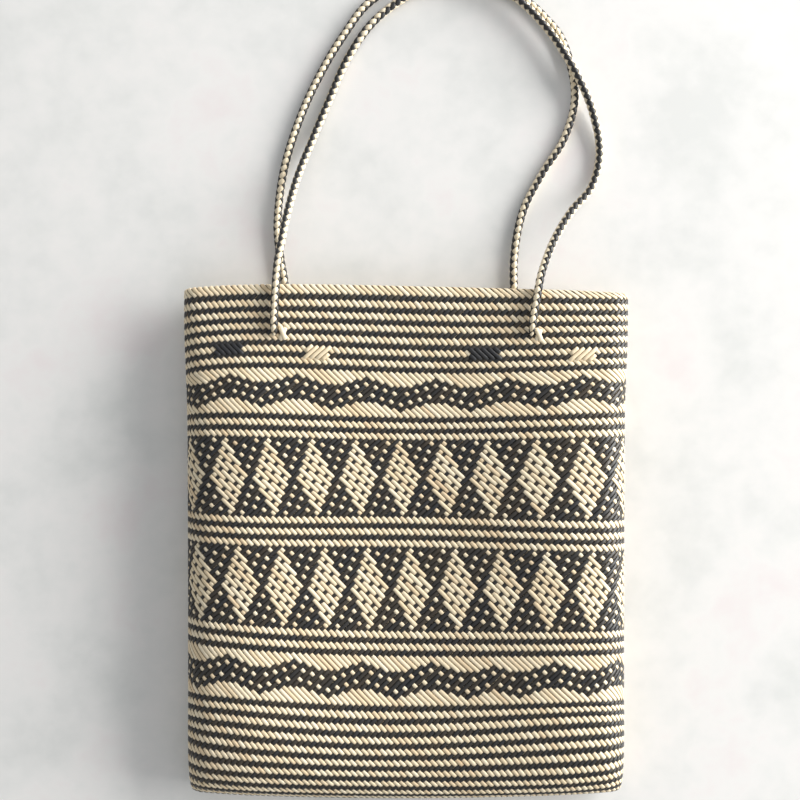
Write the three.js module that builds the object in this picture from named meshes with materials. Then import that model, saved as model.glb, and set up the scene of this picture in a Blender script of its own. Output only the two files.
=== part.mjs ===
// A plaited rattan document bag that lies on its back: the hollow body, the folded rim,
// two braided handles laid out past the mouth, and the small ties beside the handles' feet.
import * as THREE from 'three';
import { ParametricGeometry } from 'three/addons/geometries/ParametricGeometry.js';

// Driving dimensions in millimetres. X runs across the bag, Y up the bag to its mouth,
// and Z up from the floor that its back lies on.
const WALL = 2; // the plait, two strands thick
const GAP = 0.3; // clearance between pieces that touch
const SAG_REACH = 0.75; // share of the half-width within which the front sags
const SHOULDER_START = 0.68; // share of the half-width where the front begins to fall to its sides
const SHOULDER_FALL = 0.33; // how far it falls, as a share of half the bag's thickness
const HEM_DEPTH = 4; // the rim is folded inwards, two walls thick
const HEM_ROWS = 5; // rows of plait that the fold covers
const ROW = 2.17; // height of one row of plait near the rim
const NOSE_ROW = 172; // from this row on the walls turn towards the fold at the bottom
const HANDLE_RADIUS = 3.1;
const TIE = { width: 5.4, length: 11, thick: 1.2 };

// The bag's sections, by rows of plait counted down from the first one under the rim's fold. `half`
// is half the width, `back` and `front` are the heights of the two walls' outer faces above the floor,
// and `sag` is how far the middle of the front lies below its shoulders, as the bag is empty. `bow` is
// how far up the bag the section's side edges lie, measured from its middle, and `lean` is how much
// further up than that the right-hand edge lies, and how much less the left-hand one.
const SECTIONS = [
  { row: -1, y: 190, half: 165.2, back: 8.6, front: 32.8, sag: 2, bow: -4, lean: -2 },
  { row: 0, y: 187, half: 165.2, back: 8.5, front: 33.1, sag: 2, bow: -3.8, lean: -1.8 },
  { row: 16, y: 152.4, half: 164.7, back: 7.3, front: 36.4, sag: 3.5, bow: -3, lean: 0 },
  { row: 28, y: 126.5, half: 163.8, back: 4, front: 38.5, sag: 5.5, bow: -1, lean: 0 },
  { row: 46, y: 90.2, half: 162.8, back: 0.6, front: 40.8, sag: 7.5, bow: 1, lean: 0 },
  { row: 66, y: 49.9, half: 162.4, back: 0, front: 42.4, sag: 9, bow: 1.5, lean: 0 },
  { row: 88, y: 5.7, half: 162.2, back: 0, front: 43, sag: 9.5, bow: 2, lean: 0 },
  { row: 125, y: -76, half: 162, back: 0, front: 43, sag: 9.5, bow: 3.5, lean: 0 },
  { row: 144, y: -118.1, half: 162, back: 0, front: 43, sag: 9, bow: 4.5, lean: 0 },
  { row: 156, y: -146.2, half: 162.2, back: 0, front: 42.4, sag: 6.5, bow: 5, lean: 0 },
  { row: 164, y: -163.4, half: 162.2, back: 0, front: 40.4, sag: 4.5, bow: 5, lean: 0 },
  { row: 172, y: -179.2, half: 161.8, back: 0.8, front: 35.6, sag: 2, bow: 5, lean: 0 },
  { row: 176, y: -185.8, half: 161.2, back: 2.2, front: 30.6, sag: 0.8, bow: 4.5, lean: 0 },
  { row: 180, y: -189.7, half: 160, back: 6, front: 22.5, sag: 0, bow: 4, lean: 0 },
  { row: 183, y: -190.25, half: 157.5, back: 13.5, front: 13.5, sag: 0, bow: 4, lean: 0 },
];
const FIRST_ROW = SECTIONS[0].row;
const LAST_ROW = SECTIONS.at(-1).row;

// Routes of the handles' middle lines from the left foot to the right foot. The front handle
// leaves the front wall, comes down to the floor and lies across the back handle on the right.
const FRONT_ROUTE = [
  { x: -96.5, y: 153.5, z: 39.7 },
  { x: -96, y: 170.5, z: 38.2 },
  { x: -95.3, y: 188.5, z: 36.6 },
  { x: -94.2, y: 206, z: 34.2 },
  { x: -91.8, y: 223, z: 29 },
  { x: -89, y: 241.5, z: 22.5 },
  { x: -81.5, y: 274, z: 11 },
  { x: -69, y: 307.5, z: 4.6 },
  { x: -58, y: 334, z: 3.5 },
  { x: -44.5, y: 364.5, z: 3.5 },
  { x: -25.5, y: 392, z: 3.5 },
  { x: -3.5, y: 409.5, z: 3.5 },
  { x: 17.5, y: 420, z: 4.5 },
  { x: 40, y: 424.5, z: 7 },
  { x: 62, y: 420, z: 9.2 },
  { x: 84, y: 408, z: 10 },
  { x: 104, y: 388.5, z: 10.1 },
  { x: 116, y: 372.5, z: 10.1 },
  { x: 129.5, y: 349.5, z: 10.1 },
  { x: 141, y: 324.5, z: 6.4 },
  { x: 147, y: 293, z: 3.6 },
  { x: 140.5, y: 267, z: 5 },
  { x: 125, y: 248.5, z: 11 },
  { x: 109.5, y: 223.5, z: 22 },
  { x: 99, y: 197.5, z: 33.6 },
  { x: 95.5, y: 180.5, z: 37.3 },
  { x: 92.5, y: 164.5, z: 38.8 },
  { x: 91.5, y: 153.5, z: 39.7 },
];
const BACK_ROUTE = [
  { x: -90, y: 153.5, z: 3.5 },
  { x: -90.5, y: 174.5, z: 3.5 },
  { x: -92.2, y: 195.5, z: 3.5 },
  { x: -95.5, y: 215, z: 3.5 },
  { x: -97.5, y: 238.5, z: 3.5 },
  { x: -92.5, y: 281, z: 3.5 },
  { x: -79.5, y: 322, z: 3.5 },
  { x: -64.5, y: 354, z: 3.5 },
  { x: -48, y: 381.5, z: 3.5 },
  { x: -25.5, y: 409.5, z: 3.5 },
  { x: 31, y: 433, z: 3.5 },
  { x: 90, y: 409.5, z: 3.5 },
  { x: 105.5, y: 396, z: 3.5 },
  { x: 117.5, y: 381, z: 3.5 },
  { x: 126, y: 355.5, z: 3.5 },
  { x: 128, y: 332, z: 3.5 },
  { x: 120, y: 304, z: 3.5 },
  { x: 103.5, y: 277.5, z: 3.5 },
  { x: 89, y: 249.5, z: 3.5 },
  { x: 82.5, y: 218, z: 3.5 },
  { x: 82, y: 190.5, z: 3.5 },
  { x: 84, y: 170.5, z: 3.5 },
  { x: 85, y: 153.5, z: 3.5 },
];

// Where the ties lie: `turn` is the place round the bag, in turns from the middle of the front.
const TIES = [
  { name: 'front_left_tie', turn: -0.1316, row: 14.6 },
  { name: 'front_right_tie', turn: 0.1413, row: 15 },
  { name: 'back_left_tie', turn: -0.3605, row: 15.4 },
  { name: 'back_right_tie', turn: 0.3905, row: 15.4 },
];

// Mesh density
const COLUMNS = 60;
const HANDLE_STEPS = 72;
const BODY_ROWS = [16, 28, 46, 66, 88, 125, 144, 156, 160, 164, 168, 172, 176, 180, 182, LAST_ROW];

const plait = new THREE.MeshStandardMaterial({ color: 0xa8987c, roughness: 0.6, metalness: 0 });
const natural = new THREE.MeshStandardMaterial({ color: 0xdcc79c, roughness: 0.55, metalness: 0 });
const braid = new THREE.MeshStandardMaterial({ color: 0x8a8071, roughness: 0.55, metalness: 0 });

// Slope of a column between two neighbouring sections
function rise(column, k) {
  const [a, b] = [SECTIONS[k], SECTIONS[k + 1]];
  return (b[column] - a[column]) / (b.row - a.row);
}

// Slope of the smooth curve at a section, flat where the column turns, so that no value overshoots
function tangent(column, k) {
  const before = rise(column, Math.max(k - 1, 0));
  const after = rise(column, Math.min(k, SECTIONS.length - 2));
  return before * after > 0 ? (2 * before * after) / (before + after) : 0;
}

// A column's value at any row, on a smooth curve through the sections
function along(column, row) {
  let k = SECTIONS.findLastIndex((section) => section.row <= row);
  k = Math.min(Math.max(k, 0), SECTIONS.length - 2);
  const span = SECTIONS[k + 1].row - SECTIONS[k].row;
  const t = (row - SECTIONS[k].row) / span;
  const [from, to] = [SECTIONS[k][column], SECTIONS[k + 1][column]];
  const bend = t * (1 - t) * span;
  const ease = t * t * (3 - 2 * t);
  return from + (to - from) * ease + bend * ((1 - t) * tangent(column, k) - t * tangent(column, k + 1));
}

// A point of the wall. `turn` goes round the bag from the middle of the front over its right-hand
// edge, and `depth` is how far the point lies inside the outer face.
function wallPoint(turn, row, depth, target) {
  const tilt = (Math.PI / 2) * Math.max(0, (row - NOSE_ROW) / (LAST_ROW - NOSE_ROW));
  const [back, front] = [along('back', row), along('front', row)];
  const half = along('half', row) - depth;
  const radius = Math.max((front - back) / 2 - depth * Math.cos(tilt), 0);
  const straight = half - radius;
  const place = turn - Math.round(turn);
  const run = (1 - Math.abs(Math.abs(place) - 0.25) * 4) * (straight + (radius * Math.PI) / 2);
  const swing = run > straight ? (run - straight) / radius : 0;
  const x = Math.min(run, straight) + radius * Math.sin(swing);
  const inFront = Math.abs(place) < 0.25;
  const sunk = along('sag', row) * (1 - Math.min(1, (x / half / SAG_REACH) ** 2)) ** 2;
  const pastShoulder = Math.max(0, x / half - SHOULDER_START) / (1 - SHOULDER_START);
  const fallen = SHOULDER_FALL * radius * pastShoulder ** 2;
  const z = (inFront ? radius - sunk - fallen : -radius) * Math.cos(swing);
  const out = (Math.sign(place) * x) / half;
  const y = along('y', row) + along('bow', row) * out ** 2 + along('lean', row) * out;
  return target.set(out * half, y + depth * Math.sin(tilt), (front + back) / 2 + z);
}

// The body's wall runs up the outside from the fold at the bottom, over its edge under the rim,
// and down the inside, so that both ends close on themselves along the fold.
function bodyGeometry() {
  const rows = [FIRST_ROW + HEM_ROWS + GAP / ROW, ...BODY_ROWS];
  const stations = [
    ...rows.toReversed().map((row) => ({ row, depth: 0 })),
    ...rows.map((row) => ({ row, depth: WALL })),
  ];
  const surface = (u, v, target) => {
    const { row, depth } = stations[Math.round(v * (stations.length - 1))];
    wallPoint(u, row, depth, target);
  };
  return gridGeometry(surface, stations.length - 1);
}

// The hem is a ring round the mouth with a rounded top edge
function rimGeometry() {
  const roundSteps = 4;
  const round = HEM_DEPTH / 2;
  const profile = [];
  for (let k = 0; k <= roundSteps; k += 1) {
    const angle = (Math.PI * k) / roundSteps;
    profile.push({ down: round * (1 - Math.sin(angle)), depth: round * (1 - Math.cos(angle)) });
  }
  const ring = [
    { down: HEM_ROWS * ROW, depth: 0 },
    ...profile,
    { down: HEM_ROWS * ROW, depth: HEM_DEPTH },
    { down: HEM_ROWS * ROW, depth: 0 },
  ];
  const surface = (u, v, target) => {
    const { down, depth } = ring[Math.round(v * (ring.length - 1))];
    wallPoint(u, FIRST_ROW + down / ROW, depth, target);
  };
  return gridGeometry(surface, ring.length - 1);
}

// A grid of points round the bag, one ring for each station
function gridGeometry(surface, stacks) {
  return new ParametricGeometry(surface, COLUMNS, stacks);
}

// A round cord along a route, with closed ends
function handleGeometry(route) {
  const points = route.map(({ x, y, z }) => new THREE.Vector3(x, y, z));
  const path = new THREE.CatmullRomCurve3(points, false, 'centripetal');
  const section = new THREE.Shape().absarc(0, 0, HANDLE_RADIUS, 0, Math.PI * 2);
  return new THREE.ExtrudeGeometry(section, { steps: HANDLE_STEPS, extrudePath: path, curveSegments: 4 });
}

// A lozenge with eased edges, lying in its own XY plane with its underside at zero
function tieGeometry() {
  const ease = TIE.thick / 3;
  const [wide, long] = [TIE.width / 2 - ease, TIE.length / 2 - ease];
  const lozenge = new THREE.Shape();
  lozenge.moveTo(wide, 0);
  lozenge.lineTo(0, long);
  lozenge.lineTo(-wide, 0);
  lozenge.lineTo(0, -long);
  lozenge.closePath();
  const settings = { depth: TIE.thick - 2 * ease, bevelThickness: ease, bevelSize: ease, bevelSegments: 1 };
  return new THREE.ExtrudeGeometry(lozenge, settings).translate(0, 0, ease);
}

// Lays a piece flat on the outside of the wall
function layOnWall(mesh, turn, row) {
  const step = 0.5;
  const here = wallPoint(turn, row, 0, new THREE.Vector3());
  const up = wallPoint(turn, row - step, 0, new THREE.Vector3()).sub(here).normalize();
  const across = new THREE.Vector3(Math.abs(turn) < 0.25 ? 1 : -1, 0, 0);
  const out = new THREE.Vector3().crossVectors(across, up);
  mesh.quaternion.setFromRotationMatrix(new THREE.Matrix4().makeBasis(across, up, out));
  mesh.position.copy(here).addScaledVector(out, GAP);
}

function addMesh(group, name, geometry, material) {
  const mesh = new THREE.Mesh(geometry, material);
  mesh.name = name;
  group.add(mesh);
  return mesh;
}

const bag = new THREE.Group();
addMesh(bag, 'body', bodyGeometry(), plait);
addMesh(bag, 'rim', rimGeometry(), natural);
addMesh(bag, 'front_handle', handleGeometry(FRONT_ROUTE), braid);
addMesh(bag, 'back_handle', handleGeometry(BACK_ROUTE), braid);
for (const { name, turn, row } of TIES) {
  layOnWall(addMesh(bag, name, tieGeometry(), natural), turn, row);
}

export default bag;
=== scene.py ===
from dataclasses import dataclass

import bpy
import numpy as np
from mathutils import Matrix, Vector


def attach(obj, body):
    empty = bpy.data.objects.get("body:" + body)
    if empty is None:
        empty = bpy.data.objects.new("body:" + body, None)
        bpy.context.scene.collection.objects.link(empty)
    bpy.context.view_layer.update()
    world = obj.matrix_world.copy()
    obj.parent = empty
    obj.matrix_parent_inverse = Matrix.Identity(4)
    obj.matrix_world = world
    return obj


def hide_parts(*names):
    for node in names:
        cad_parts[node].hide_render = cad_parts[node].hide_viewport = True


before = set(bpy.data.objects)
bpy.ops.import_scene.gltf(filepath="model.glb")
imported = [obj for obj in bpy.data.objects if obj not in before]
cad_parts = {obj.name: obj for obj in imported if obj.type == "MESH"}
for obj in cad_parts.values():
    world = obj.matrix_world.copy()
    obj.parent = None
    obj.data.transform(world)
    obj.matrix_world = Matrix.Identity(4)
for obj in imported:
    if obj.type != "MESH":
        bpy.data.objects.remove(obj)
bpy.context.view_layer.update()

# A plaited rattan document bag lying on its back. Every strand of the plait is a solid strip that
# passes over and under the others by the chart of stripes, waves and diamonds below, and the two
# handles are braids of four strands. Sizes are in millimetres until a mesh is made.
MM = 0.001
SEED = 11

# The bag's wall, as in the part's source. Its slack front sags between two soft shoulders.
WALL = 2
SAG_REACH = 0.75  # share of the half-width over which the front sags
SHOULDER_START = 0.68  # share of the half-width where the front begins to fall to its sides
SHOULDER_FALL = 0.33  # how far it falls, as a share of half the bag's thickness
EDGE_TURN = 0.25  # turns from the middle of the front to a side edge
LEAST_RADIUS = 1e-6  # of the side edges, where front and back meet at the bottom
ROW = 2.17  # height of a row of plait
NOSE_ROW = 172  # where the wall begins to turn in at the bottom
LAST_ROW = 183  # the fold at the bottom

# Sections across the bag: place along it, half-width, heights of its back and its front, how deep the
# front sags, and how far the section bows up at both ends and leans up at its right-hand end
SECTION_COLUMNS = ("row", "y", "half", "back", "front", "sag", "bow", "lean")
SECTIONS = (
    (-1, 190, 165.2, 8.6, 32.8, 2, -4, -2),
    (0, 187, 165.2, 8.5, 33.1, 2, -3.8, -1.8),
    (16, 152.4, 164.7, 7.3, 36.4, 3.5, -3, 0),
    (28, 126.5, 163.8, 4, 38.5, 5.5, -1, 0),
    (46, 90.2, 162.8, 0.6, 40.8, 7.5, 1, 0),
    (66, 49.9, 162.4, 0, 42.4, 9, 1.5, 0),
    (88, 5.7, 162.2, 0, 43, 9.5, 2, 0),
    (125, -76, 162, 0, 43, 9.5, 3.5, 0),
    (144, -118.1, 162, 0, 43, 9, 4.5, 0),
    (156, -146.2, 162.2, 0, 42.4, 6.5, 5, 0),
    (164, -163.4, 162.2, 0, 40.4, 4.5, 5, 0),
    (172, -179.2, 161.8, 0.8, 35.6, 2, 5, 0),
    (176, -185.8, 161.2, 2.2, 30.6, 0.8, 4.5, 0),
    (180, -189.7, 160, 6, 22.5, 0, 4, 0),
    (183, -190.25, 157.5, 13.5, 13.5, 0, 4, 0),
)

# How far the rows of the hand-plaited front climb above the wall's own level, at these shares of the
# way from its middle to a side edge
CLIMB_COLUMNS = ("row", "left_edge", "left", "middle", "right", "right_edge")
CLIMB_PLACES = (-1, -0.5, 0, 0.5, 1)
CLIMBS = (
    (-1, 0, 0.8, 0, 0, 0),
    (3, 1.5, 2.9, 1.4, 1.6, 6),
    (11, 1, 3.2, 0.2, 0.3, 6.2),
    (20, 0, 3.6, -0.4, 0.3, 5.8),
    (28, -1, 3.8, 0, 0.9, 5.2),
    (36, -0.4, 3.7, -0.2, 1.5, 4),
    (47, 0.2, 2, -0.5, 0.9, 2),
    (65, 1.6, 0.3, -0.2, -1.2, -1.4),
    (86, 1.2, -1.5, -2.1, -4.5, -8),
    (105, 1.9, -0.7, -2.6, -3.2, -8.4),
    (123, 4.2, 0.3, -2.9, -2.8, -6.6),
    (141, 0.2, -0.3, -3.7, -1.9, -7),
    (150, 0.8, 0.1, -3.5, 0.6, -3.8),
    (158, 3.9, 0.4, -2.5, 0.7, -1.4),
    (168, 1.6, -0.2, -1.4, -1.4, -0.6),
    (183, 0, 0, 0, 0, 0),
)

# How far its columns have slipped to the right, in half-teeth, at these places across the front
SLIP_COLUMNS = ("row", "left", "middle", "right", "far_right", "right_edge")
SLIP_PLACES = (-46, 0, 27, 54, 77)
SLIPS = (
    (0, -1.2, 0.3, 1.4, 4.7, 6.5),
    (40, -1.2, 0.3, 1.4, 4.7, 6.5),
    (66, -0.1, -0.1, 0.6, 4, 6.2),
    (86, 0, -0.4, 0.8, 2.8, 4),
    (105, -0.2, -0.6, 0.8, 1.8, 1.8),
    (112, -0.7, -1.2, 0.2, 1.1, 1),
    (120, -1.3, -1.6, 0.2, 0.9, 0.6),
    (135, -1.5, -1.5, 0.6, 1, 0.2),
    (160, -0.8, -0.8, 0.3, 0.5, 0.1),
    (183, 0, 0, 0, 0, 0),
)

# The plait. Places round the bag are counted in half-teeth from the middle of the front over the
# right-hand edge, and rows are counted down from the rim. Strands cross where place and row are
# both even or both odd. A natural strand keeps place minus row, a black one place plus row.
SIDE = 77  # half-teeth from the middle of the front to an edge
ROUND = 4 * SIDE
STRANDS = ROUND // 2  # strands of each colour round the rim
FOLD_ROW = -1  # the rim's fold
HEM_ROWS = 6  # rows turned in
ROLL = 0.6  # height of the fold, in rows
PITCH = 3.09  # even distance between neighbouring strands
STRAND_WIDTH = 3.03
STRAND_THICK = 0.9
LIFT = 0.5  # height of a strand's middle over or under the plait's own middle
WANDER = 0.09  # how far a strand strays from its line, in half-teeth
WANDER_ROWS = (9, 23)  # rows to a radian of the two waves in which it strays
WIDTH_RANGE = (0.96, 1.02)  # the strands' own widths, as shares of the even one
CROWDING = (0.7, 1.15)  # least and most that a strand's width follows the room it has
FACE_STEP = 0.3  # half-teeth and rows across which the slope of a face is taken
PITCH_STEP = 0.5  # half-teeth and rows along which a strand's run is taken

# Black shows on the first half of each stripe's rows: first row and number of stripes of every group
STRIPES = ((3, 7), (45, 2), (83, 2), (121, 2), (143, 11))
STRIPE_ROWS = 4

# A wave's two lines of dots rise, run level and fall. Lengths are in half-teeth and heights in rows.
WAVE_SLOPE = 3  # half-teeth for each row that a line rises
WAVE_HEIGHT = 3
WAVE_LEVEL = 4  # length of the level stretch
WAVE_RISE = WAVE_SLOPE * WAVE_HEIGHT
WAVE_LENGTH = 2 * WAVE_RISE + WAVE_LEVEL
WAVE_GAP = 4  # from the upper line down to the lower one
WAVE_EDGE = 2.5  # black outside both lines

DIAMOND_LENGTH = 14
DIAMOND_STRANDS = 13  # natural strands that a diamond is made of
DIAMOND_TOP, DIAMOND_BOTTOM = -4, 21  # rows of its corners
DOT_BEAT = 5  # crossings from one dot to the next along a strand
LEFT_DOT, RIGHT_DOT = 2, 3  # beats of the dots on the ground beside a diamond

# The handles' routes from the left foot to the right foot, as in the part's source
FRONT_ROUTE = (
    (-96.5, 153.5, 39.7),
    (-96, 170.5, 38.2),
    (-95.3, 188.5, 36.6),
    (-94.2, 206, 34.2),
    (-91.8, 223, 29),
    (-89, 241.5, 22.5),
    (-81.5, 274, 11),
    (-69, 307.5, 4.6),
    (-58, 334, 3.5),
    (-44.5, 364.5, 3.5),
    (-25.5, 392, 3.5),
    (-3.5, 409.5, 3.5),
    (17.5, 420, 4.5),
    (40, 424.5, 7),
    (62, 420, 9.2),
    (84, 408, 10),
    (104, 388.5, 10.1),
    (116, 372.5, 10.1),
    (129.5, 349.5, 10.1),
    (141, 324.5, 6.4),
    (147, 293, 3.6),
    (140.5, 267, 5),
    (125, 248.5, 11),
    (109.5, 223.5, 22),
    (99, 197.5, 33.6),
    (95.5, 180.5, 37.3),
    (92.5, 164.5, 38.8),
    (91.5, 153.5, 39.7),
)
BACK_ROUTE = (
    (-90, 153.5, 3.5),
    (-90.5, 174.5, 3.5),
    (-92.2, 195.5, 3.5),
    (-95.5, 215, 3.5),
    (-97.5, 238.5, 3.5),
    (-92.5, 281, 3.5),
    (-79.5, 322, 3.5),
    (-64.5, 354, 3.5),
    (-48, 381.5, 3.5),
    (-25.5, 409.5, 3.5),
    (31, 433, 3.5),
    (90, 409.5, 3.5),
    (105.5, 396, 3.5),
    (117.5, 381, 3.5),
    (126, 355.5, 3.5),
    (128, 332, 3.5),
    (120, 304, 3.5),
    (103.5, 277.5, 3.5),
    (89, 249.5, 3.5),
    (82.5, 218, 3.5),
    (82, 190.5, 3.5),
    (84, 170.5, 3.5),
    (85, 153.5, 3.5),
)
ROUTE_STEPS = 40  # points worked out between two of a route's own

BRAID_PITCH = 10.8  # length in which a strand goes once round its braid
BRAID_RADIUS = 2.1
BRAID_RELIEF = 0.4  # how far a strand rises over the others and sinks under them
BRAID_LINGER = 0.5  # how much slower a strand goes round while it is on top
BRAID_STEP = 0.75  # distance between the points of a handle's line
BRAID_STRAND = {"width": 3.8, "thick": 1.1}
NATURAL_BRAID_TONE = 0.9
BLACK_BRAID_TONE = 0.2
FOOT_TUCK = 9  # length over which a braid thins and goes into the plait
FOOT_DIP = 3.4
FOOT_THINNING = 0.5  # share of its thickness that a braid loses there

# Share of a handle's length, and the angle by which its natural face is turned from the top there, to
# the right of its run. A braid has a second natural face below the first, and a black one on each side.
FRONT_FACING = (
    (0, -20),
    (0.05, 0),
    (0.08, 25),
    (0.105, 55),
    (0.13, 70),
    (0.34, 70),
    (0.385, 0),
    (0.42, -80),
    (0.8, -82),
    (0.87, -95),
    (0.9, -115),
    (0.95, -150),
    (1, -170),
)
BACK_FACING = (
    (0, 0),
    (0.66, 0),
    (0.7, 45),
    (0.77, 45),
    (0.8, 72),
    (0.83, 60),
    (0.85, 40),
    (0.875, 0),
    (0.9, -15),
    (1, -15),
)

# Short strands that come out of the plait, lie on it and go in again
FLOAT_POINTS = 9
FLOAT_STEEPNESS = 1.7  # how soon such a strand lies flat

# The small knots beside the feet: place round the bag in turns, and row
TIES = {
    "front_left_tie": (-0.1316, 14.6),
    "front_right_tie": (0.1413, 15),
    "back_left_tie": (-0.3605, 15.4),
    "back_right_tie": (0.3905, 15.4),
}
TIE_REACH = 2.4  # rows that a tie covers on each side of its middle
TIE_SPREAD = 0.4  # half-teeth that its strands go aside for each row
TIE_LIFTS = (1.1, 1.7)  # heights of its lower and its upper strand
TIE_TUCK = 0.3  # depth of their ends
TIE_FULLNESS = 1.2
TIE_THICK = 1.1
TIE_TONE = 0.9

# The handles' ends come back up beside their feet as short floats, the black ones before the foot and
# the natural ones past it. A step is counted in half-teeth from the foot, a reach in rows.
FEET = (-44, 38, -114, 116)
BLACK_TAIL = {"row": 21.5, "step": -14, "floats": 6, "reach": 2.4, "tone": 0}
NATURAL_TAIL = {"row": 22.6, "step": 16, "floats": 5, "reach": 2.8, "tone": 0.45}
TAIL_LIFT = 1.25

# Rattan's fibres and mottling: how fast they change along a strand, for each millimetre, and from its
# middle to its edge, and how far apart the patterns of neighbouring strands are
FIBRE_ALONG, FIBRE_ACROSS, FIBRE_APART = 0.06, 5, 7.3
MOTTLE_ALONG, MOTTLE_APART, MOTTLE_SLICE = 0.03, 3.7, 0.5
FIBRE_BUMP = 0.35
FIBRE_DEPTH = 0.2 * MM
FIBRE_ROUGHNESS = 0.2

# Shares of a strand's own tone, its mottling and its fibres in its shade, and what is added to them.
# Then places on the ramp of shades, from the darkest to the palest, with their colours.
NATURAL_SHARES = {"tone": 0.42, "mottle": 0.45, "fibre": 0.3, "base": -0.08}
NATURAL_SHADES = (
    (0.08, (0.65, 0.46, 0.27)),
    (0.25, (0.83, 0.65, 0.42)),
    (0.45, (0.9, 0.755, 0.52)),
    (0.75, (0.93, 0.815, 0.61)),
)
# Colour of the strands' darkened edges: partly wear, partly painted shade in the gaps between neighbouring
# strands
NATURAL_WORN_AND_SHADED_EDGE = (0.36, 0.25, 0.14, 1)
EDGE_SHARPNESS = 2.5
NATURAL_ROUGHNESS = 0.42
BLACK_SHARES = {"tone": 0.6, "mottle": 0.35, "fibre": 0.2, "base": -0.1}
BLACK_SHADES = (
    (0.1, (0.026, 0.027, 0.03)),
    (0.4, (0.031, 0.03, 0.029)),
    (0.65, (0.043, 0.037, 0.03)),
    (0.9, (0.064, 0.048, 0.032)),
)
BLACK_ROUGHNESS = 0.32

# The stage: the floor and the lamp are in metres, the camera in millimetres
FLOOR_SIZE = 8.0
FLOOR_SHADES = (
    (0.36, (0.81, 0.815, 0.795)),
    (0.48, (0.885, 0.88, 0.86)),
    (0.55, (0.92, 0.905, 0.885)),
    (0.66, (0.905, 0.855, 0.845)),
)
FLOOR_ROUGHNESS = 0.75
CLOUD_SCALE, GRAIN_SCALE, GRAIN_SHARE = 11, 70, 0.2
KEY_LIGHT = {
    "place": (3.2, 1.3, 1),
    "target": (0, 0.1, 0),
    "size": (5, 2),
    "power": 342,
    "colour": (1, 0.99, 0.97),
}
SKY_COLOUR = (0.96, 0.98, 1, 1)
SKY_STRENGTH = 0.43
CAMERA_PLACE = (-4.5, 105.75, 872)
CAMERA_LENS = 51.48
SENSOR = 36

random = np.random.default_rng(SEED)


# Shapes of the bag and its plait
def table(columns, rows):
    """The columns of a table by their names."""
    return {name: np.array(values, float) for name, values in zip(columns, zip(*rows))}


SECTION = table(SECTION_COLUMNS, SECTIONS)
CLIMB = table(CLIMB_COLUMNS, CLIMBS)
SLIP = table(SLIP_COLUMNS, SLIPS)


def along(stations, column, row):
    """A column's value at any row, on a smooth curve through the stations that never overshoots."""
    at, value = stations["row"], stations[column]
    rise = np.diff(value) / np.diff(at)
    before = np.concatenate((rise[:1], rise))
    after = np.concatenate((rise, rise[-1:]))
    rising = before * after > 0
    slope = np.where(rising, 2 * before * after / np.where(rising, before + after, 1), 0)
    k = np.clip(np.searchsorted(at, row, side="right") - 1, 0, len(at) - 2)
    span = at[k + 1] - at[k]
    t = (row - at[k]) / span
    ease = t * t * (3 - 2 * t)
    bend = t * (1 - t) * span
    return value[k] + (value[k + 1] - value[k]) * ease + bend * ((1 - t) * slope[k] - t * slope[k + 1])


def wall_point(turn, row, depth):
    """Points of the wall, `turn` round the bag from the middle of the front and `depth` inside its face."""
    y, half, back, front, sag, bow, lean = (along(SECTION, column, row) for column in SECTION_COLUMNS[1:])
    tilt = np.pi / 2 * np.maximum(0, (row - NOSE_ROW) / (LAST_ROW - NOSE_ROW))
    half = half - depth
    radius = np.maximum((front - back) / 2 - depth * np.cos(tilt), LEAST_RADIUS)
    straight = half - radius
    place = turn - np.round(turn)
    run = (1 - np.abs(np.abs(place) - EDGE_TURN) / EDGE_TURN) * (straight + radius * np.pi / 2)
    swing = np.maximum(run - straight, 0) / radius
    x = np.minimum(run, straight) + radius * np.sin(swing)
    in_front = np.abs(place) < EDGE_TURN
    sunk = sag * (1 - np.minimum(1, (x / half / SAG_REACH) ** 2)) ** 2
    past_shoulder = np.maximum(0, x / half - SHOULDER_START) / (1 - SHOULDER_START)
    fallen = SHOULDER_FALL * radius * past_shoulder**2
    z = np.where(in_front, radius - sunk - fallen, -radius) * np.cos(swing)
    aside = np.sign(place) * x / half
    y = y + bow * aside**2 + lean * aside
    return np.stack((aside * half, y + depth * np.sin(tilt), (front + back) / 2 + z), axis=-1)


def row_climb(place, row):
    """How far the rows climb, on a curve across the front that runs out towards the back's middle."""
    across = np.clip(place / SIDE, -1, 1)
    climb = 0
    for column, own in zip(CLIMB_COLUMNS[1:], CLIMB_PLACES):
        part = along(CLIMB, column, row)
        for other in CLIMB_PLACES:
            if other != own:
                part = part * (across - other) / (own - other)
        climb = climb + part
    return climb * (1 - np.maximum(np.abs(place) / SIDE - 1, 0)) ** 2


def column_slip(place, row):
    """How far the columns have slipped, straight from place to place and out at the back's middle."""
    places = (-2 * SIDE, -SIDE, *SLIP_PLACES, 2 * SIDE)
    slip = 0
    for k, column in enumerate(SLIP_COLUMNS[1:], 2):
        share = np.interp(place, places, np.eye(len(places))[k])
        slip = slip + share * along(SLIP, column, row)
    return slip


def centred(place, length):
    """Places counted from the middle of the repeat that they lie in."""
    return (place + length / 2) % length - length / 2


def plait_point(place, row):
    """Points on the middle of the plait. Rows above the fold are the hem, turned in over the rim."""
    place = centred(place, ROUND)
    past = row - FOLD_ROW
    fold = np.clip(past, -1, 1) * np.pi / 2
    level = FOLD_ROW + np.where(np.abs(past) < 1, 1 - ROLL * np.cos(fold), np.abs(past))
    climb = row_climb(place, level) / ROW
    slip = column_slip(place, np.maximum(level, 0))
    depth = WALL / 2 * (2 - np.sin(fold))
    return wall_point((place + slip) / ROUND, level - climb, depth)


def unit(vectors):
    """Vectors at a length of one."""
    return vectors / np.linalg.norm(vectors, axis=-1, keepdims=True)


def outward(surface, place, row):
    """Directions out of a surface that is given by place and row."""
    down = surface(place, row + FACE_STEP) - surface(place, row - FACE_STEP)
    across = surface(place + FACE_STEP, row) - surface(place - FACE_STEP, row)
    return unit(np.cross(down, across))


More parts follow.
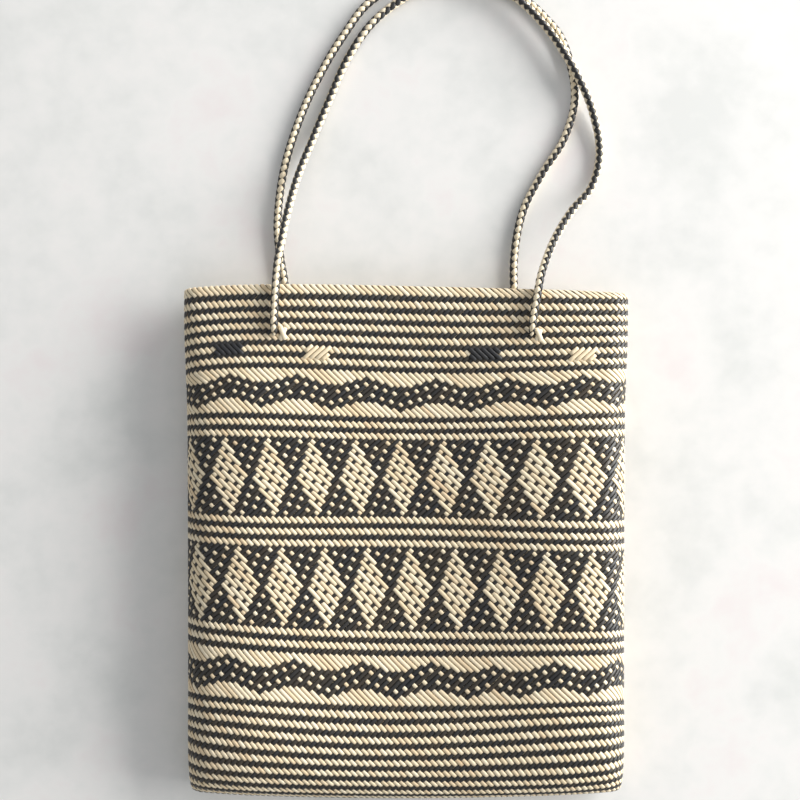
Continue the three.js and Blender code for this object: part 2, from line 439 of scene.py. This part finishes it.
def plait_frame(place, row):
    """Points on the plait with the directions out of it."""
    above_fold = np.minimum(row, LAST_ROW - 2 * FACE_STEP)
    return plait_point(place, row), outward(plait_point, place, above_fold)


# The chart of the plait
def waves(place, row):
    """A black band between two lines that rise and fall together, with natural dots along both."""
    s = place % WAVE_LENGTH
    t = (place + WAVE_LEVEL / 2) % WAVE_LENGTH
    fall = WAVE_RISE + WAVE_LEVEL
    upper = np.select(
        [s <= WAVE_RISE, s <= fall],
        [s / WAVE_SLOPE, WAVE_HEIGHT],
        WAVE_HEIGHT - (s - fall) / WAVE_SLOPE,
    )
    lower = WAVE_GAP + np.select(
        [t <= WAVE_LEVEL, t <= fall],
        [0, (t - WAVE_LEVEL) / WAVE_SLOPE],
        WAVE_HEIGHT - (t - fall) / WAVE_SLOPE,
    )
    black = (row > upper - WAVE_EDGE) & (row < lower + WAVE_EDGE)
    upper_dots = (row == upper) & (s != WAVE_RISE + WAVE_LEVEL / 2)
    lower_dots = (row == lower) & (t != WAVE_LEVEL / 2)
    return black & ~upper_dots & ~lower_dots


def diamonds(place, row):
    """Leaning natural diamonds with black dots, on black ground with natural dots."""
    s = centred(place, DIAMOND_LENGTH)
    natural, black = (s - row) / 2, (s + row) / 2
    # Natural strands are counted from the top corner, and each is on top from the first to the last of
    # some black ones. Two sides of a diamond go on by three black strands for each natural one, and the
    # other two by one black strand for every two.
    k = -DIAMOND_TOP / 2 - natural
    first = np.maximum(np.floor(k / 2) - 2, 3 * k - 25)
    last = np.minimum(3 * k - 2, np.floor((k + 1) / 2) + 5)
    in_diamond = (k >= 0) & (k < DIAMOND_STRANDS) & (black >= first) & (black <= last)
    beat = (natural + 2 * black) % DOT_BEAT
    beside = (row >= DIAMOND_TOP) & (row <= DIAMOND_BOTTOM)
    ground_dot = beside & (beat == np.where(s > 0, RIGHT_DOT, LEFT_DOT))
    return np.where(in_diamond, beat == 0, ~ground_dot)


# Motif, its first and last row, the row its own count starts from, the place of its first figure, and
# the place from which the entry holds. The lower wave has one short crest in front.
BANDS = (
    (waves, 29, 44, 33, 9, -2 * SIDE),
    (diamonds, 53, 80, 58, -2, -2 * SIDE),
    (diamonds, 91, 118, 96, 2, -2 * SIDE),
    (waves, 127, 142, 131, 9, -2 * SIDE),
    (waves, 127, 142, 131, 3, 28),
    (waves, 127, 142, 131, 9, 138),
)


def black_on_top(place, row):
    """Whether the black strand passes over the natural one at a crossing."""
    black = np.zeros(np.shape(place), bool)
    for first, stripes in STRIPES:
        past = row - first
        black |= (past >= 0) & (past < STRIPE_ROWS * stripes) & (past % STRIPE_ROWS < STRIPE_ROWS / 2)
    place = centred(place, ROUND)
    for motif, first, last, start, shift, left in BANDS:
        in_band = (row >= first) & (row <= last) & (place >= left)
        black = np.where(in_band, motif(place - shift, row - start), black)
    return black


# Strands as runs
@dataclass
class Run:
    """The middle line of one strand, with what the strand tree and the finishes read from it."""

    points: np.ndarray
    out: np.ndarray
    black: bool
    tone: float
    fullness: float | np.ndarray = 1.0


def slant_of(black):
    """Which way a strand runs as it goes down: a natural one to the right, a black one to the left."""
    return -1 if black else 1


def partner_of(strand, slant):
    """The strand of the other wall that this one goes on as, past the fold at the bottom."""
    return (SIDE - strand - slant * LAST_ROW) % STRANDS


def plait_rows():
    """Rows from the hem's edge to the fold at the bottom, with half-rows round the rim."""
    hem = np.arange(FOLD_ROW - HEM_ROWS, FOLD_ROW - 1)
    rim = np.linspace(FOLD_ROW - 1, FOLD_ROW + 1, 5)
    return np.concatenate((hem, rim, np.arange(FOLD_ROW + 2, LAST_ROW + 1)))


def strand_pitch(place, row, slant):
    """The distance between neighbouring strands of one colour, across their run."""
    row = np.minimum(row, LAST_ROW - PITCH_STEP)
    aside = slant * PITCH_STEP
    across = plait_point(place + 1, row) - plait_point(place - 1, row)
    run = unit(plait_point(place + aside, row + PITCH_STEP) - plait_point(place - aside, row - PITCH_STEP))
    return np.linalg.norm(np.cross(across, run), axis=-1)


def plait_run(strand, black):
    """One strand from the hem down to the fold at the bottom, up the other wall and into its hem."""
    slant = slant_of(black)
    partner = partner_of(strand, slant)
    rows = plait_rows()
    place = 2 * strand + slant * rows
    if partner != strand:
        up = rows[-2::-1]
        place = np.concatenate((place, 2 * partner + slant * up))
        rows = np.concatenate((rows, up))
    over = black_on_top(place, rows) == black
    phases = random.uniform(0, 2 * np.pi, 2)
    stray = sum(np.sin(rows / slow + phase) for slow, phase in zip(WANDER_ROWS, phases))
    points, out = plait_frame(place + WANDER / 2 * stray, rows)
    height = np.where(over, LIFT, -LIFT)
    room = np.clip(strand_pitch(place, rows, slant) / PITCH, *CROWDING)
    fullness = random.uniform(*WIDTH_RANGE) * room
    return Run(points + out * height[:, None], out, black, random.uniform(), fullness)


def plait_runs(black):
    """Each strand once: a strand and its partner on the other wall are the same one."""
    slant = slant_of(black)
    return [plait_run(strand, black) for strand in range(STRANDS) if strand <= partner_of(strand, slant)]


def float_height(foot, crown):
    """Heights of a short strand, from its ends in the plait to its flat top."""
    share = np.linspace(0, 1, FLOAT_POINTS)
    return foot + (crown - foot) * np.minimum(1, FLOAT_STEEPNESS * np.sin(np.pi * share))


def tail_runs(foot):
    """Black floats before a foot and natural ones past it. The outer two of each are half as long."""
    height = float_height(-LIFT, TAIL_LIFT)
    runs = []
    for tail, black in ((BLACK_TAIL, True), (NATURAL_TAIL, False)):
        slant = -slant_of(black)
        count, reach = tail["floats"], tail["reach"]
        middle = foot + tail["step"] - slant * tail["row"]
        first = round(middle / 2 - (count - 1) / 2)
        short_above, short_below = (0, count - 1) if black else (count - 1, 0)
        for k in range(count):
            from_row = 0 if k == short_above else -reach
            to_row = 0 if k == short_below else reach
            rows = tail["row"] + np.linspace(from_row, to_row, FLOAT_POINTS)
            points, out = plait_frame(2 * (first + k) + slant * rows, rows)
            runs.append(Run(points + out * height[:, None], out, black, tail["tone"]))
    return runs


def tie_runs(turn, row):
    """Two broad natural strands that cross over one black stripe."""

    def surface(place, level):
        return wall_point(turn + place / ROUND, level, WALL / 2)

    step = np.linspace(-TIE_REACH, TIE_REACH, FLOAT_POINTS)
    runs = []
    for slant, lift in zip((-1, 1), TIE_LIFTS):
        rows, place = row + step, slant * TIE_SPREAD * step
        out = outward(surface, place, rows)
        points = surface(place, rows) + out * float_height(-TIE_TUCK, lift)[:, None]
        runs.append(Run(points, out, False, TIE_TONE, TIE_FULLNESS))
    return runs


def path_length(points):
    """The length of a line up to each of its points."""
    steps = np.linalg.norm(np.diff(points, axis=0), axis=1)
    return np.concatenate(([0], np.cumsum(steps)))


def smooth_route(route, step):
    """Points at even steps on the centripetal curve through a route's points."""
    route = np.array(route, float)
    guide = np.vstack((2 * route[0] - route[1], route, 2 * route[-1] - route[-2]))
    knots = np.sqrt(np.linalg.norm(np.diff(guide, axis=0), axis=1))
    t = np.linspace(0, 1, ROUTE_STEPS, endpoint=False)[:, None]
    fine = []
    for k in range(1, len(guide) - 2):
        p0, p1, p2, p3 = guide[k - 1:k + 3]
        d0, d1, d2 = knots[k - 1:k + 2]
        leave = ((p1 - p0) / d0 - (p2 - p0) / (d0 + d1) + (p2 - p1) / d1) * d1
        arrive = ((p2 - p1) / d1 - (p3 - p1) / (d1 + d2) + (p3 - p2) / d2) * d1
        square = 3 * (p2 - p1) - 2 * leave - arrive
        cube = 2 * (p1 - p2) + leave + arrive
        fine.append(p1 + leave * t + square * t**2 + cube * t**3)
    fine = np.vstack((*fine, route[-1:]))
    way = path_length(fine)
    even = np.linspace(0, way[-1], round(way[-1] / step) + 1)
    return np.stack([np.interp(even, way, fine[:, axis]) for axis in range(3)], axis=1)


def handle_line(route, dip):
    """A handle's middle line, with its ends let into the wall, and how full the braid is along it."""
    line = smooth_route(route, BRAID_STEP)
    way = path_length(line)
    to_end = np.minimum(way, way[-1] - way)
    tuck = np.clip(1 - to_end / FOOT_TUCK, 0, 1) ** 2
    line[:, 2] += dip * tuck
    return line, 1 - FOOT_THINNING * tuck


def braid_runs(line, fullness, facing):
    """Two natural strands one way round and two black ones the other way, over and under by turns."""
    tangent = unit(np.gradient(line, axis=0))
    upright = np.array((0, 0, 1.0))
    up = unit(upright - tangent * (tangent @ upright)[:, None])
    aside = np.cross(tangent, up)
    way = path_length(line)
    shares, degrees = zip(*facing)
    face = np.radians(np.interp(way / way[-1], shares, degrees))
    runs = []
    for black, sense, tone in ((False, 1, NATURAL_BRAID_TONE), (True, -1, BLACK_BRAID_TONE)):
        for start in (0, np.pi):
            angle = sense * 2 * np.pi * way / BRAID_PITCH + start
            angle -= sense * BRAID_LINGER / 2 * np.sin(2 * angle)
            radius = (BRAID_RADIUS + sense * BRAID_RELIEF * np.cos(2 * angle)) * fullness
            turned = (angle + face)[:, None]
            out = np.cos(turned) * up + np.sin(turned) * aside
            runs.append(Run(line + out * radius[:, None], out, black, tone, fullness))
    return runs


# Node trees
class Wire:
    """A node's output that takes part in Python expressions; each operator adds one Math node."""

    def __init__(self, tree, socket):
        self.tree = tree
        self.socket = socket

    def maths(self, operation, first, second):
        return self.tree.node("ShaderNodeMath", {"operation": operation}, {0: first, 1: second})

    def __add__(self, other):
        return self.maths("ADD", self, other)

    def __radd__(self, other):
        return self.maths("ADD", other, self)

    def __sub__(self, other):
        return self.maths("SUBTRACT", self, other)

    def __rsub__(self, other):
        return self.maths("SUBTRACT", other, self)

    def __mul__(self, other):
        return self.maths("MULTIPLY", self, other)

    def __rmul__(self, other):
        return self.maths("MULTIPLY", other, self)

    def __pow__(self, other):
        return self.maths("POWER", self, other)

    def __rpow__(self, other):
        return self.maths("POWER", other, self)


class Tree:
    """A node tree in the making."""

    def __init__(self, made):
        self.nodes = made.nodes
        self.links = made.links

    def node(self, kind, settings=None, sockets=None, output=0):
        """Adds a node, with its settings first and then the values or links of its sockets."""
        made = self.nodes.new(kind)
        for name, value in (settings or {}).items():
            if name == "stops":
                self.set_stops(made.color_ramp, value)
            else:
                setattr(made, name, value)
        for name, value in (sockets or {}).items():
            self.join(value, self.pick(made.inputs, name))
        return Wire(self, self.pick(made.outputs, output))

    def join(self, value, socket):
        """Links a wire to a socket, or sets the socket to a value."""
        if isinstance(value, Wire):
            self.links.new(value.socket, socket)
        else:
            socket.default_value = value

    @staticmethod
    def pick(sockets, name):
        """A socket by its place or name among those that the node shows."""
        shown = [socket for socket in sockets if socket.enabled]
        if isinstance(name, int):
            return shown[name]
        return next(socket for socket in shown if socket.name == name)

    @staticmethod
    def set_stops(ramp, stops):
        """Gives a colour ramp its places and colours."""
        while len(ramp.elements) < len(stops):
            ramp.elements.new(1)
        for element, (position, colour) in zip(ramp.elements, stops):
            element.position = position
            element.color = (*colour, 1)


class Finish(Tree):
    """A material whose shader's sockets are set or fed by name."""

    def __init__(self, name):
        self.material = bpy.data.materials.new(name)
        self.material.use_nodes = True
        super().__init__(self.material.node_tree)
        self.shader = self.nodes["Principled BSDF"]

    def attribute(self, name):
        return self.node("ShaderNodeAttribute", {"attribute_name": name}, output="Fac")

    def vector(self, x, y, z):
        return self.node("ShaderNodeCombineXYZ", sockets={"X": x, "Y": y, "Z": z})

    def noise(self, vector, scale, detail):
        return self.node("ShaderNodeTexNoise", sockets={"Vector": vector, "Scale": scale, "Detail": detail})

    def ramp(self, value, stops):
        return self.node("ShaderNodeValToRGB", {"stops": stops}, {"Fac": value})

    def mix(self, factor, first, second):
        sockets = {"Factor": factor, "A": first, "B": second}
        return self.node("ShaderNodeMix", {"data_type": "RGBA"}, sockets)

    def bump(self, height, strength, distance):
        sockets = {"Strength": strength, "Distance": distance, "Height": height}
        return self.node("ShaderNodeBump", sockets=sockets)

    def set(self, **sockets):
        for name, value in sockets.items():
            self.join(value, self.shader.inputs[name.replace("_", " ").title()])


SIDES = 6  # corners of a strand's section: two edges and two flat faces
STRAND_INPUTS = (
    ("Runs", "NodeSocketGeometry"),
    ("Width", "NodeSocketFloat"),
    ("Thickness", "NodeSocketFloat"),
    ("Natural finish", "NodeSocketMaterial"),
    ("Black finish", "NodeSocketMaterial"),
)


def strand_tree():
    """Geometry nodes that turn runs into solid strands, flat across their outward direction."""
    group = bpy.data.node_groups.new("split strands", "GeometryNodeTree")
    for name, kind in STRAND_INPUTS:
        group.interface.new_socket(name, in_out="INPUT", socket_type=kind)
    group.interface.new_socket("Strands", in_out="OUTPUT", socket_type="NodeSocketGeometry")
    tree = Tree(group)
    given = {socket.name: Wire(tree, socket) for socket in group.nodes.new("NodeGroupInput").outputs}

    def stored(name, kind):
        return tree.node("GeometryNodeInputNamedAttribute", {"data_type": kind}, {"Name": name})

    line = tree.node("GeometryNodeMeshToCurve", sockets={"Mesh": given["Runs"]})
    line = tree.node(
        "GeometryNodeSetCurveNormal",
        {"mode": "FREE"},
        {"Curve": line, "Normal": stored("out", "FLOAT_VECTOR")},
    )
    to_flat = 0.5 / np.cos(np.pi / SIDES)  # the section's flat faces lie inside its round
    size = tree.node(
        "ShaderNodeCombineXYZ",
        sockets={"X": given["Width"] * 0.5, "Y": given["Thickness"] * to_flat},
    )
    section = tree.node("GeometryNodeCurvePrimitiveCircle", sockets={"Resolution": SIDES, "Radius": 1})
    section = tree.node(
        "GeometryNodeTransform",
        sockets={"Geometry": section, "Rotation": (0, 0, np.pi / 2), "Scale": size},
    )
    solid = tree.node(
        "GeometryNodeCurveToMesh",
        sockets={
            "Curve": line,
            "Profile Curve": section,
            "Scale": stored("fullness", "FLOAT"),
            "Fill Caps": True,
        },
    )
    solid = tree.node("GeometryNodeSetShadeSmooth", sockets={"Geometry": solid})
    solid = tree.node("GeometryNodeRealizeInstances", sockets={"Geometry": solid})
    solid = tree.node(
        "GeometryNodeSetMaterial",
        sockets={"Geometry": solid, "Material": given["Natural finish"]},
    )
    solid = tree.node(
        "GeometryNodeSetMaterial",
        sockets={
            "Geometry": solid,
            "Selection": stored("black", "BOOLEAN"),
            "Material": given["Black finish"],
        },
    )
    tree.join(solid, group.nodes.new("NodeGroupOutput").inputs["Strands"])
    return group


# Finishes
class Rattan(Finish):
    """Split rattan, with lengthwise fibres and a slow mottling that differ from strand to strand."""

    def __init__(self, name):
        super().__init__(name)
        way, strand = self.attribute("way"), self.attribute("strand")
        self.tone, self.across = self.attribute("tone"), self.attribute("across")
        fibres = self.vector(way * FIBRE_ALONG, self.across * FIBRE_ACROSS, strand * FIBRE_APART)
        patches = self.vector(way * MOTTLE_ALONG, strand * MOTTLE_APART, MOTTLE_SLICE)
        self.fibre = self.noise(fibres, scale=1, detail=3)
        self.mottle = self.noise(patches, scale=1, detail=2)
        self.set(normal=self.bump(self.fibre, FIBRE_BUMP, FIBRE_DEPTH))

    def shade(self, tone, mottle, fibre, base):
        return tone * self.tone + mottle * self.mottle + fibre * self.fibre + base


def natural_finish():
    """Cream to tan, each strand with its own shade, and the darker strands with darker edges, partly wear
    and partly painted shade between strands.
    """
    finish = Rattan("natural_rattan")
    colour = finish.ramp(finish.shade(**NATURAL_SHARES), NATURAL_SHADES)
    # Painted shade, partly wear: the darker strands' edges are darkened towards the gaps between strands
    worn_and_shaded_edge = (finish.across * finish.across) ** EDGE_SHARPNESS
    colour = finish.mix(worn_and_shaded_edge * (1 - finish.tone), colour, NATURAL_WORN_AND_SHADED_EDGE)
    finish.set(base_color=colour, roughness=NATURAL_ROUGHNESS + FIBRE_ROUGHNESS * finish.fibre)
    return finish.material


def black_finish():
    """Rattan dyed black: some strands bluer, some worn to brown, with a satin skin."""
    finish = Rattan("black_rattan")
    colour = finish.ramp(finish.shade(**BLACK_SHARES), BLACK_SHADES)
    finish.set(base_color=colour, roughness=BLACK_ROUGHNESS + FIBRE_ROUGHNESS * finish.fibre)
    return finish.material


def floor_finish():
    """Pale stone with soft pink and grey-green clouds."""
    finish = Finish("pale_floor")
    place = finish.node("ShaderNodeTexCoord", output="Object")
    clouds = finish.noise(place, CLOUD_SCALE, detail=5)
    grain = finish.noise(place, GRAIN_SCALE, detail=3)
    colour = finish.ramp((1 - GRAIN_SHARE) * clouds + GRAIN_SHARE * grain, FLOOR_SHADES)
    finish.set(base_color=colour, roughness=FLOOR_ROUGHNESS)
    return finish.material


NATURAL = natural_finish()
BLACK = black_finish()
STRAND_TREE = strand_tree()


# Pieces
def set_values(mesh, name, kind, values):
    """Stores one value for each of a mesh's points."""
    field = "vector" if kind == "FLOAT_VECTOR" else "value"
    mesh.attributes.new(name, kind, "POINT").data.foreach_set(field, np.ravel(values))


def wire_mesh(name, runs):
    """The runs as chains of edges that carry each strand's values."""
    points = np.concatenate([run.points for run in runs]) * MM
    counts = [len(run.points) for run in runs]
    last = set(np.cumsum(counts) - 1)
    edges = [(k, k + 1) for k in range(len(points) - 1) if k not in last]
    mesh = bpy.data.meshes.new(name)
    mesh.from_pydata(points.tolist(), edges, [])
    set_values(mesh, "out", "FLOAT_VECTOR", np.concatenate([run.out for run in runs]))
    full = [np.broadcast_to(run.fullness, count) for run, count in zip(runs, counts)]
    set_values(mesh, "fullness", "FLOAT", np.concatenate(full))
    set_values(mesh, "way", "FLOAT", np.concatenate([path_length(run.points) for run in runs]))
    set_values(mesh, "tone", "FLOAT", np.repeat([run.tone for run in runs], counts))
    set_values(mesh, "strand", "FLOAT", np.repeat(np.arange(len(runs)), counts))
    set_values(mesh, "black", "BOOLEAN", np.repeat([run.black for run in runs], counts))
    return mesh


CAP_LENGTH, CAP_BREADTH = 0.4, 2  # half-sizes of a strand's end on the baking map, in steps and strips
BAND_MARGIN = 0.3  # room beside a strand's band, in strips


def lay_out_strips(mesh, runs):
    """A baking map with one straight band of strips for each strand, and the place across a strand."""
    counts = np.array([len(run.points) for run in runs])
    ring_run = np.repeat(np.arange(len(runs)), counts)
    ring_step = np.concatenate([np.arange(count) for count in counts])
    corners = np.empty(len(mesh.loops), int)
    mesh.loops.foreach_get("vertex_index", corners)
    ring, side = np.divmod(corners, SIDES)
    sizes = np.empty(len(mesh.polygons), int)
    mesh.polygons.foreach_get("loop_total", sizes)
    starts = np.cumsum(sizes) - sizes

    def meets(number):
        return np.logical_or.reduceat(side == number, starts)

    # The strip that closes a ring ends on its first side again, which the map has at the far edge
    closing = np.repeat(meets(0) & meets(SIDES - 1), sizes)
    strip = np.where(closing & (side == 0), SIDES, side)
    # A band has one free step before its first ring and one past its last, for the strand's ends
    cap = np.repeat(sizes == SIDES, sizes)
    cap_place = np.where(ring_step == 0, 0.5, ring_step + 1.5)
    bend = 2 * np.pi * side / SIDES
    step = np.where(cap, cap_place[ring] + CAP_LENGTH * np.cos(bend), ring_step[ring] + 1)
    strip = np.where(cap, SIDES / 2 + CAP_BREADTH * np.sin(bend), strip)
    u = step / (counts.max() + 2)
    v = (ring_run[ring] + (strip + BAND_MARGIN) / (SIDES + 2 * BAND_MARGIN)) / len(runs)
    layer = mesh.uv_layers.new(name="OFBake")
    layer.data.foreach_set("uv", np.stack((u, v), axis=1).ravel())
    turn = 2 * np.pi * np.arange(len(mesh.vertices)) / SIDES
    set_values(mesh, "across", "FLOAT", np.cos(turn))


def lay_strands(name, runs, width=STRAND_WIDTH, thick=STRAND_THICK):
    """Solid strands along their runs, as one plain mesh at the origin."""
    piece = bpy.data.objects.new(name, wire_mesh(name + "_runs", runs))
    bpy.context.scene.collection.objects.link(piece)
    modifier = piece.modifiers.new("strands", "NODES")
    modifier.node_group = STRAND_TREE
    values = {
        "Width": width * MM,
        "Thickness": thick * MM,
        "Natural finish": NATURAL,
        "Black finish": BLACK,
    }
    for item in STRAND_TREE.interface.items_tree:
        if item.in_out == "INPUT" and item.name in values:
            modifier[item.identifier] = values[item.name]
    bpy.context.view_layer.update()
    solid = piece.evaluated_get(bpy.context.evaluated_depsgraph_get())
    mesh = bpy.data.meshes.new_from_object(solid)
    mesh.name = name
    piece.modifiers.remove(modifier)
    piece.data = mesh
    for spent in ("out", "fullness", "black"):
        mesh.attributes.remove(mesh.attributes[spent])
    lay_out_strips(mesh, runs)
    return piece


def lay_plait():
    """The walls and the hem, strand by strand, in two pieces of each colour."""
    for black, name in ((False, "natural"), (True, "black")):
        runs = plait_runs(black)
        half = len(runs) // 2
        for number, share in enumerate((runs[:half], runs[half:]), 1):
            piece = lay_strands(f"{name}_strands_{number}", share)
            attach(piece, "root")
            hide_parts("body", "rim")


def lay_handle(name, route, dip, facing):
    """A braid from foot to foot, which is a stiff cord."""
    line, fullness = handle_line(route, dip)
    piece = lay_strands(name + "_braid", braid_runs(line, fullness, facing), **BRAID_STRAND)
    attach(piece, "root")
    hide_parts(name)


def lay_ties_and_tails():
    """The knots beside the feet, and the handles' ends that come back up out of the plait."""
    for name, (turn, row) in TIES.items():
        piece = lay_strands(name + "_strands", tie_runs(turn, row), thick=TIE_THICK)
        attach(piece, "root")
        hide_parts(name)
    runs = [run for foot in FEET for run in tail_runs(foot)]
    for black, name in ((False, "natural"), (True, "black")):
        piece = lay_strands(f"{name}_tails", [run for run in runs if run.black == black])
        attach(piece, "root")


# Floor, light and camera
def area_light(name, place, target, size, power, colour):
    """A soft lamp that looks at its target."""
    lamp = bpy.data.lights.new(name, "AREA")
    lamp.shape = "RECTANGLE"
    lamp.size, lamp.size_y = size
    lamp.energy = power
    lamp.color = colour
    holder = bpy.data.objects.new(name, lamp)
    bpy.context.scene.collection.objects.link(holder)
    holder.location = place
    aim = Vector(target) - holder.location
    holder.rotation_euler = aim.to_track_quat("-Z", "Y").to_euler()


def set_stage():
    """A pale floor, one soft lamp from the right under a bright sky, and a camera straight above."""
    scene = bpy.context.scene
    bpy.ops.mesh.primitive_plane_add(size=FLOOR_SIZE)
    floor = bpy.context.object
    floor.name = "floor"
    floor.data.materials.append(floor_finish())
    area_light("key", **KEY_LIGHT)
    world = bpy.data.worlds.new("studio")
    scene.world = world
    world.use_nodes = True
    sky = world.node_tree.nodes["Background"]
    sky.inputs["Color"].default_value = SKY_COLOUR
    sky.inputs["Strength"].default_value = SKY_STRENGTH
    scene.view_settings.view_transform = "Standard"
    lens = bpy.data.cameras.new("camera")
    lens.lens = CAMERA_LENS
    lens.sensor_width = SENSOR
    camera = bpy.data.objects.new("camera", lens)
    scene.collection.objects.link(camera)
    camera.location = Vector(CAMERA_PLACE) * MM
    scene.camera = camera


set_stage()
lay_handle("front_handle", FRONT_ROUTE, -FOOT_DIP, FRONT_FACING)
lay_handle("back_handle", BACK_ROUTE, FOOT_DIP, BACK_FACING)
lay_plait()
lay_ties_and_tails()
